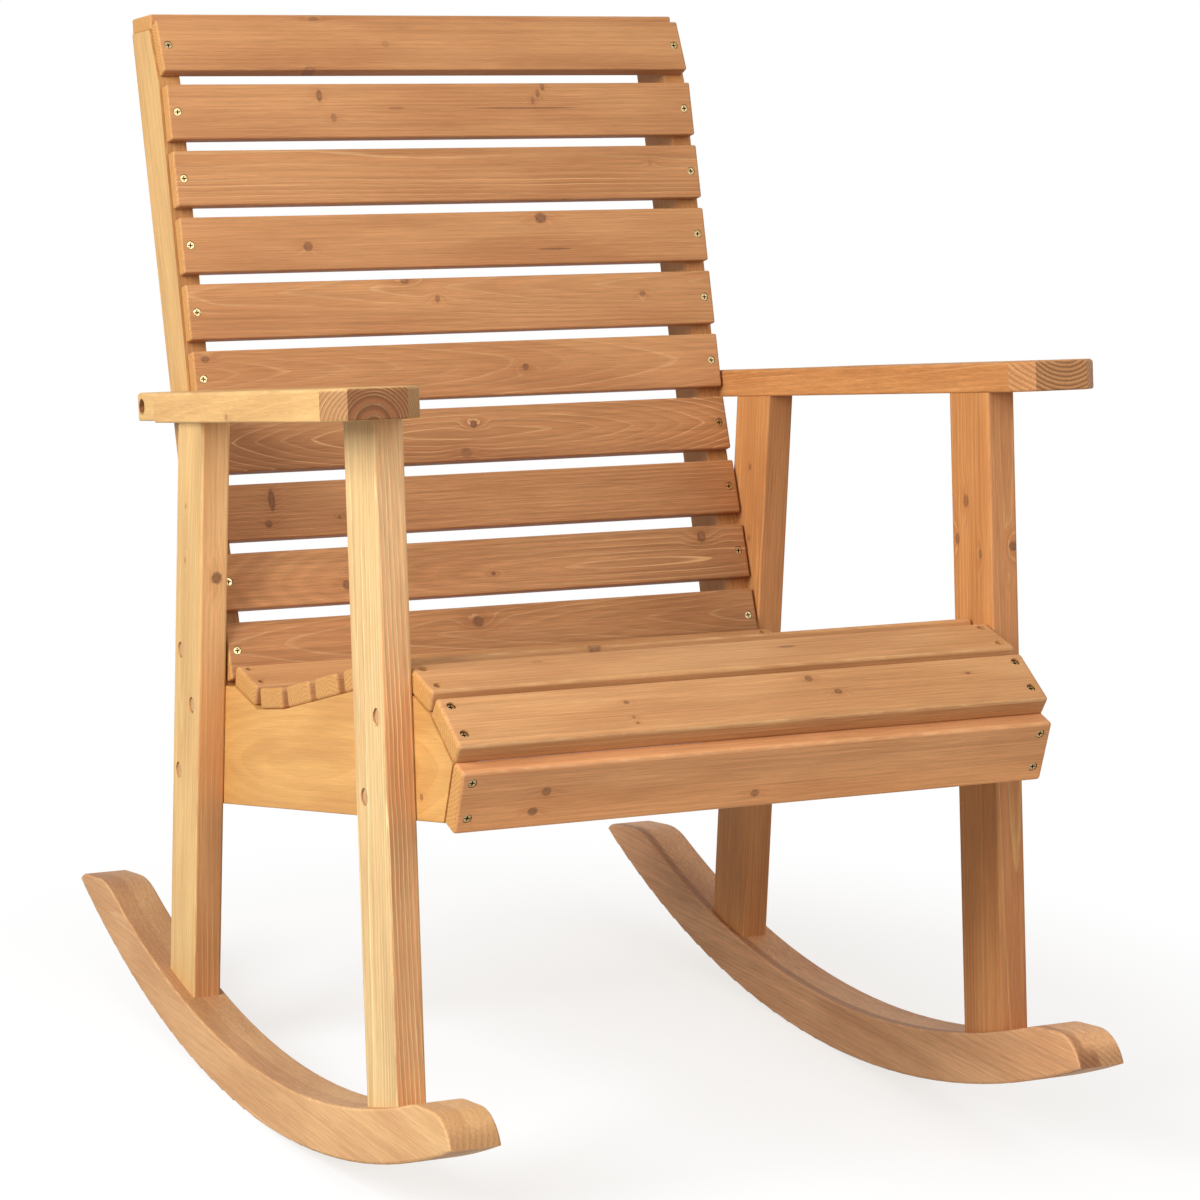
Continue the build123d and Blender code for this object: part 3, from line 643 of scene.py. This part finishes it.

# %% [markdown]
# All of them have one stain. The four lowest are tinted along their length, from the sitter's right to the
# left: painted light where they are lit, and painted shade where the near arm and legs shade them. Every
# slat is also painted a little darker on its lower side, as painted shade. The cut ends are golden, and a
# cap lies over the top of the back.

# %% Back slats
slat_tone = (0.555, 0.262, 0.106)
golden_end = (0.560, 0.275, 0.080)
slat_lower_tint = (0.92, 0.89, 0.88)
low_slat_painted_light_and_shade = {
    4: ((0.85, 0.82, 0.82), (0.86, 0.82, 0.79)),
    3: ((1.10, 1.13, 1.18), (0.80, 0.76, 0.73)),
    2: ((1.22, 1.28, 1.32), (0.80, 0.80, 0.82)),
    1: ((1.00, 1.02, 1.03), (0.77, 0.75, 0.73)),
}
for number, wood in back_slat_woods.items():
    tints = low_slat_painted_light_and_shade.get(number)
    stained_fir(f"back_slat_{number}", slat_tone, seed=number * 1.7, end_tone=golden_end, length_tints=tints,
                lower_tint=slat_lower_tint, **wood)
stained_fir("top_cap_slat", slat_tone, heart=(4.0, -5.0), line=0.3, seed=20.3, end_tone=golden_end,
            knots=[edge_knot(-11.2, 0.3, 0.5, 0.25, 0.5)])
print("back:", len(back_slat_woods) + 1, "boards finished")

# %% [markdown]
# The seat slats are the same wood, a little paler on top, where they are sat on, with small tight knots.
# Slat 1 is at the back of the seat. Slat 9 is the upright one under its front edge, cut from a paler board;
# its lower part is painted lighter, as painted light that evens it with its brighter rounded top.

# %% Seat slats
seat_slat_count = 9
seat_tone = (0.580, 0.288, 0.118)
nose_tone = (0.690, 0.322, 0.135)
nose_lower_tint = (1.16, 1.10, 1.02)
seat_slat_knots = {
    6: [face_knot(-9.7, -2.6, 0.6, 0.2, 0.6)],
    7: [face_knot(-16.8, 1.4, 0.5, 0.25, 0.3), face_knot(6.9, 0.8, 0.8, 0.2, 0.6)],
    8: [face_knot(-11.6, 0.7, 0.24, 0.20, 0.75), face_knot(-11.6, -1.1, 0.15, 0.15, 0.6),
        face_knot(-11.5, -1.8, 0.14, 0.14, 0.7), face_knot(6.3, 1.8, 0.34, 0.34, 0.75),
        face_knot(8.4, 0.0, 0.34, 0.30, 0.8), face_knot(21.8, 0.95, 0.24, 0.14, 0.8)],
    9: [face_knot(-20.3, 0.5, 0.42, 0.40, 0.6), face_knot(-21.3, -1.3, 0.42, 0.36, 0.7),
        face_knot(-0.5, -1.5, 0.40, 0.36, 0.55)],
}
for number in range(1, seat_slat_count + 1):
    heart = (-6.0 + 1.3 * number, -5.0)
    tone, lower_tint = (nose_tone, nose_lower_tint) if number == seat_slat_count else (seat_tone, None)
    stained_fir(f"seat_slat_{number}", tone, heart=heart, line=0.28, taper=0.012, wear=0.5,
                seed=31.0 + 2.3 * number, knots=seat_slat_knots.get(number, ()),
                end_tone=golden_end, lower_tint=lower_tint)
print("seat:", seat_slat_count, "boards finished")

# %% [markdown]
# Legs, arms, rails, stiles and rockers are thicker boards, and here the two sides of the chair differ:
# the boards on the sitter's right side, which faces the key soft box, are given paler tones, and those on the
# left side a more orange brown. The legs' edges are tinted apart from their broad faces and change from foot
# to top: partly stain, partly painted shade that deepens toward the floor and painted light near the top.
# On the two left legs a tint along the length lightens the feet: painted light where shade falls.

# %% Legs
pale_tone = (0.670, 0.445, 0.203)
warm_tone = (0.645, 0.403, 0.163)
orange_tone = (0.555, 0.250, 0.084)
no_tint = (1.0, 1.0, 1.0)
stained_fir("front_leg_right", pale_tone, heart=(2.0, -7.0), ring=0.32, line=1.0, taper=0.006, seed=41.1,
            wander=0.4, edge_tints=((0.97, 0.70, 0.65), (1.12, 0.96, 0.98)), edge_rise=(0.1, 0.85))
stained_fir("rear_leg_right", warm_tone, heart=(1.0, -4.0), ring=0.36, taper=0.015, seed=43.9, grain=0.8,
            edge_tints=((0.98, 0.71, 0.68), (1.32, 1.24, 1.38)),
            knots=[edge_knot(13.0, -0.25, 0.55, 0.5, 0.8), face_knot(19.1, 0.8, 0.25, 0.16, 0.6),
                   face_knot(13.9, 0.8, 0.25, 0.2, 0.5)])
stained_fir("front_leg_left", orange_tone, heart=(2.10, 0.48), ring=0.60, line=0.75, wander=0.1, skew=0.0093,
            seed=47.3, edge_tints=((0.88, 0.89, 1.04), (0.98, 0.92, 1.06)),
            length_tints=((1.12, 1.05, 1.05), no_tint),
            knots=[face_knot(19.6, -1.0, 0.55, 0.42, 0.7), face_knot(16.1, -2.6, 0.5, 0.35, 0.7),
                   face_knot(14.9, 1.3, 0.40, 0.35, 0.6), edge_knot(15.6, 0.9, 0.40, 0.40, 0.8)])
stained_fir("rear_leg_left", orange_tone, heart=(3.0, -5.0), ring=0.36, line=0.65, taper=0.02, seed=51.7,
            edge_tints=((0.86, 0.86, 0.98), (1.05, 1.04, 1.18)), length_tints=((1.25, 1.20, 1.15), no_tint),
            knots=[face_knot(20.3, 0.2, 0.30, 0.25, 0.6), face_knot(13.1, 0.7, 0.30, 0.25, 0.5)])
print("4 legs finished")

# %% [markdown]
# The arms are cut close to the heart, so their front ends show wide rings, dark where end grain drank the
# stain. The seat rails are wide boards with a broad, quiet figure, in which late wood is only a little
# deeper in colour.

# %% Arms, rails and stiles
arm_tone = (0.610, 0.365, 0.140)
stile_tone = (0.580, 0.345, 0.132)
rail_tone = (0.610, 0.318, 0.098)
rail_line = (0.97, 0.86, 0.70)
stained_fir("arm_right", arm_tone, heart=(0.3, -1.9), ring=0.92, crowd=2.4, line=0.30, taper=0.004, seed=55.3,
            peak=0.0, wander=0.3, grain=0.6, end_tone=(0.300, 0.112, 0.043), end_rings=0.8,
            knots=[edge_knot(7.7, -0.9, 0.35, 0.30, 0.5)])
stained_fir("arm_left", orange_tone, heart=(-0.3, 4.0), line=0.65, taper=0.004, seed=59.9,
            peak=0.0, wander=0.4, end_tone=(0.530, 0.240, 0.096), end_rings=1.2)
stained_fir("seat_rail_right", rail_tone, heart=(-1.4, -1.6), ring=0.80, bow=-0.0035, seed=63.1, grain=0.4,
            line_tint=rail_line, knots=[face_knot(24.4, -3.8, 0.35, 0.30, 0.6)])
stained_fir("seat_rail_left", rail_tone, heart=(0.5, -2.5), ring=0.70, bow=-0.002, seed=67.7, grain=0.4,
            line_tint=rail_line)
# The right stile's edges are darker than its faces: partly stain, partly painted shade between the slats.
stained_fir("back_stile_right", stile_tone, heart=(2.5, -4.0), line=0.35, taper=0.02, seed=71.3,
            edge_tints=((0.80, 0.62, 0.55), (0.85, 0.68, 0.60)))
stained_fir("back_stile_left", orange_tone, heart=(-2.0, -4.0), line=0.35, taper=-0.02, seed=75.1)
print("2 arms, 2 rails and 2 stiles finished")

# %% [markdown]
# The rockers are sawn from planks that are glued up from layers. The grain runs straight while the rocker
# curves, so it leaves the edge at a slant, and the layers show as darker bands on top and on the nose.

# %% Rockers
rocker_pale_tone = (0.615, 0.350, 0.158)
rocker_brown_tone = (0.680, 0.370, 0.180)
stained_fir("rocker_right", rocker_pale_tone, heart=(3.0, -9.0), ring=0.5, line=0.25, grain=0.9, seed=79.7,
            length_tints=((0.88, 0.82, 0.81), (1.03, 1.04, 1.02)), end_tone=(0.480, 0.245, 0.100),
            layers=[(0.2, 2.2, "edge", (0.86, 0.80, 0.78))])
stained_fir("rocker_left", rocker_brown_tone, heart=(3.0, -9.0), ring=0.5, line=0.40, grain=1.2, seed=83.3,
            length_tints=((1.15, 1.10, 1.12), (1.05, 1.03, 1.01)), end_tone=(0.470, 0.235, 0.105),
            layers=[(-2.1, -1.3, "edge", (0.62, 0.55, 0.52)), (-2.4, -0.2, "end", (0.62, 0.52, 0.48))])
print("2 rockers finished")

# %% [markdown]
# The bolts through the legs are hidden under wooden plugs, and dowels join the boards out of sight.
# Plugs and dowels are small turned pieces, so fine fibres and a little uneven stain are enough for them.
# An Ambient Occlusion node paints shade into the narrow ring around a plug, where the gap around it lies in
# shadow.

# %% Plugs and dowels
painted_shade_reach = 0.0022
plug_tone = (0.560, 0.330, 0.150)
dowel_tone = (0.640, 0.450, 0.270)


def turned_wood(name, tone, scale):
    """A small turned piece of wood, with its fibres along the scale's smallest direction, and painted shade
    where it sits in its hole.
    """
    material, tree, shader = new_material(f"{name} turned wood")
    point = add_node(tree, "ShaderNodeTexCoord").outputs["Object"]
    fibre = noise(tree, point, scale, detail=4.0, roughness=0.6)["Fac"]
    stain = noise(tree, point, (90.0, 90.0, 90.0))["Fac"]
    fibre_share = soft_step(tree, fibre, 0.3, 0.7)
    colour = blend(tree, fibre_share, shade(tone, 0.75, 0.68, 0.60), shade(tone, 1.1, 1.15, 1.2))
    colour = blend(tree, soft_step(tree, stain, 0.45, 0.8, 0.0, 0.5), colour, shade(tone, 0.55, 0.45, 0.38))
    open_sky = add_node(tree, "ShaderNodeAmbientOcclusion", {"Distance": painted_shade_reach}).outputs["AO"]
    # Painted shade: where Ambient Occlusion finds the hole's rim close by, the colour turns dark.
    painted_recess_shade = soft_step(tree, open_sky, 0.55, 0.95, 0.85, 0.0)
    colour = blend(tree, painted_recess_shade, colour, shade(tone, 0.30, 0.22, 0.18))
    tree.links.new(colour, shader.inputs["Base Color"])
    tree.links.new(soft_step(tree, fibre, 0.3, 0.7, 0.65, 0.5), shader.inputs["Roughness"])
    add_bump(tree, shader, fibre, strength=0.3, distance=0.0003)
    dress(name, material)


turned_wood("leg_bolt_plugs", plug_tone, (900.0, 900.0, 60.0))
turned_wood("arm_dowels", dowel_tone, (900.0, 900.0, 40.0))
turned_wood("foot_dowels", dowel_tone, (900.0, 900.0, 40.0))
print("plugs and dowels finished")

# %% [markdown]
# The screws are yellow-plated steel, bright on the rim and dark in the cross recess, where the darkness is
# painted shade. The bolts are plain steel. A metal's colour is its reflection, so the colour goes in as it
# is, and noise changes only tarnish and roughness. Ambient Occlusion finds the recess, and the edge of the
# hole
# around the screw: there the surface sees little but the screw and the wood, and shade is painted into the
# colour.

# %% Screws and bolts
painted_recess_shade_colour = (0.030, 0.018, 0.010, 1.0)
yellow_plating = (0.780, 0.580, 0.310, 1.0)
brown_tarnish = (0.400, 0.270, 0.110, 1.0)
grey_steel = (0.560, 0.550, 0.530, 1.0)
dark_steel = (0.250, 0.240, 0.230, 1.0)


def plated_metal(name, bright, tarnished, roughness):
    """A plated fastener with patches of tarnish, fine scratches, and painted shade in its recess."""
    material, tree, shader = new_material(f"{name} plated metal")
    point = add_node(tree, "ShaderNodeTexCoord").outputs["Object"]
    patches = noise(tree, point, (450.0, 450.0, 450.0), detail=3.0)["Fac"]
    scratches = noise(tree, point, (2500.0, 600.0, 2500.0))["Fac"]
    tarnish = soft_step(tree, patches, 0.42, 0.68)
    open_sky = add_node(tree, "ShaderNodeAmbientOcclusion", {"Distance": painted_shade_reach}).outputs["AO"]
    colour = blend(tree, tarnish, bright, tarnished)
    # Painted shade: the colour turns dark where Ambient Occlusion finds the recess.
    painted_recess_shade = soft_step(tree, open_sky, 0.60, 0.98, 1.0, 0.0)
    colour = blend(tree, painted_recess_shade, colour, painted_recess_shade_colour)
    tree.links.new(colour, shader.inputs["Base Color"])
    worn = maths(tree, "MULTIPLY", tarnish, 0.18)
    worn = maths(tree, "ADD", worn, maths(tree, "MULTIPLY", scratches, 0.12))
    tree.links.new(maths(tree, "ADD", worn, roughness), shader.inputs["Roughness"])
    add_bump(tree, shader, scratches, strength=0.15, distance=0.0001)
    shader.inputs["Metallic"].default_value = 1.0
    dress(name, material)


plated_metal("back_slat_screws", yellow_plating, brown_tarnish, 0.22)
plated_metal("seat_slat_screws", shade(yellow_plating, 0.75, 0.70, 0.65), brown_tarnish, 0.32)
plated_metal("leg_bolts", grey_steel, dark_steel, 0.30)
plated_metal("arm_bolts", grey_steel, dark_steel, 0.30)
print("screws and bolts finished")

# %% [markdown]
# The chair stands on a plain pale floor that runs out into white. For light that bounces, the floor is a
# plain pale grey. For the camera, and for reflections, part of it glows, so that it meets the background as
# white and the shadow under the chair stays soft. Only what the camera sees changes: no light is added to
# the chair.

# %% What the floor looks like
floor_fade_start = 0.45
floor_fade_end = 0.92
# The glow is warmer than the shaded diffuse part, so the floor turns warm where the chair's shadow falls: a
# painted warm tint in the shadow.
floor_glow = {"Color": (1.0, 0.968, 0.932, 1.0), "Strength": 0.765}
white_glow = {"Color": (1.0, 1.0, 1.0, 1.0), "Strength": 1.0}


def seen_directly(tree):
    """1 for what the camera sees, also mirrored or through glass, and 0 for light that bounces."""
    path = add_node(tree, "ShaderNodeLightPath").outputs
    direct = maths(tree, "ADD", path["Is Camera Ray"], path["Is Glossy Ray"], clamp=True)
    return maths(tree, "ADD", direct, path["Is Transmission Ray"], clamp=True)


floor_material = bpy.data.materials.new("pale studio floor")
floor_material.use_nodes = True
tree = floor_material.node_tree
tree.nodes.clear()
floor_point = add_node(tree, "ShaderNodeTexCoord").outputs["Object"]
mottle = noise(tree, floor_point, (3.0, 3.0, 3.0))["Fac"]
floor_bounce = blend(tree, mottle, (0.39, 0.39, 0.39, 1.0), (0.41, 0.41, 0.41, 1.0))
# This diffuse part is cooler than the glow, which leaves the painted warm tint in the shadow.
floor_seen = blend(tree, mottle, (0.240, 0.265, 0.290, 1.0), (0.250, 0.275, 0.300, 1.0))
bouncing = add_node(tree, "ShaderNodeBsdfDiffuse", {"Color": floor_bounce}).outputs[0]
shaded = add_node(tree, "ShaderNodeBsdfDiffuse", {"Color": floor_seen}).outputs[0]
glowing = add_node(tree, "ShaderNodeEmission", floor_glow).outputs[0]
near_chair = add_node(tree, "ShaderNodeAddShader", {0: shaded, 1: glowing}).outputs[0]
far_white = add_node(tree, "ShaderNodeEmission", white_glow).outputs[0]
fade = soft_step(tree, vectors(tree, "LENGTH", floor_point), floor_fade_start, floor_fade_end)
seen = add_node(tree, "ShaderNodeMixShader", {0: fade, 1: near_chair, 2: far_white}).outputs[0]
mixed = add_node(tree, "ShaderNodeMixShader", {0: seen_directly(tree), 1: bouncing, 2: seen}).outputs[0]
add_node(tree, "ShaderNodeOutputMaterial", {"Surface": mixed})
print("floor material:", len(tree.nodes), "nodes")

# %% [markdown]
# The floor itself is one large plane under the rockers. It is part of the stage, not of the chair.

# %% Floor
floor_half = 12.0
bpy.ops.mesh.primitive_plane_add(size=2 * floor_half, location=(0.0, 0.0, 0.0))
floor = bpy.context.object
floor.name = "studio_floor"
floor.data.materials.append(floor_material)
print("floor", 2 * floor_half, "m wide")

# %% [markdown]
# The light is a plain soft studio light: one large soft box high on the viewer's left, a weaker one in
# front, and an even white room. The left sides of the boards come out brightest, the fronts about as their
# colours are written, and the undersides stay brown.

# %% Soft boxes
chair_middle = Vector((0.0, 0.0, 0.45))


def soft_box(name, direction, distance, size, power):
    """A square area light that faces the chair."""
    bpy.ops.object.light_add(type="AREA", location=chair_middle + direction.normalized() * distance)
    lamp = bpy.context.object
    lamp.name = name
    lamp.data.size = size
    lamp.data.energy = power
    lamp.rotation_euler = direction.to_track_quat("Z", "Y").to_euler()


soft_box("key_soft_box", Vector((-0.86, -0.22, 0.46)), distance=3.0, size=1.6, power=98.0)
soft_box("front_soft_box", Vector((0.05, -0.88, 0.47)), distance=3.6, size=2.6, power=44.0)

# %% [markdown]
# The room is the world around the scene. It lights the chair weakly from all sides, and the camera sees it
# as white. The Standard view transform shows colours as they are written.

# %% White room
room_strength = 0.41
world = bpy.data.worlds.new("white room")
bpy.context.scene.world = world
world.use_nodes = True
tree = world.node_tree
tree.nodes.clear()
room_light = add_node(tree, "ShaderNodeBackground", {**white_glow, "Strength": room_strength}).outputs[0]
room_white = add_node(tree, "ShaderNodeBackground", white_glow).outputs[0]
looked_at = seen_directly(tree)
mixed = add_node(tree, "ShaderNodeMixShader", {0: looked_at, 1: room_light, 2: room_white}).outputs[0]
add_node(tree, "ShaderNodeOutputWorld", {"Surface": mixed})
bpy.context.scene.view_settings.view_transform = "Standard"
print("room:", len(tree.nodes), "nodes")

# %% [markdown]
# The camera stands in front, on the sitter's right, a little higher than the chair's back, and looks
# slightly down. Its long lens keeps the lines of the slats nearly parallel, as in the picture of the chair.

# %% Camera
camera_place = Vector((-1.52451, -3.20124, 1.17726))
camera_turn = math.radians(-25.879)
camera_pitch = math.radians(-11.452)
camera_roll = math.radians(1.675)
camera_lens = 116.485
bpy.ops.object.camera_add(location=camera_place)
camera = bpy.context.object
camera.name = "studio_camera"
camera.data.sensor_width = 36.0
camera.data.lens = camera_lens
facing = Matrix.Rotation(camera_turn, 3, "Z") @ Matrix.Rotation(math.pi / 2 + camera_pitch, 3, "X")
camera.rotation_euler = (facing @ Matrix.Rotation(camera_roll, 3, "Z")).to_euler()
bpy.context.scene.camera = camera
print("camera", round((camera_place - chair_middle).length, 2), "m from the chair")
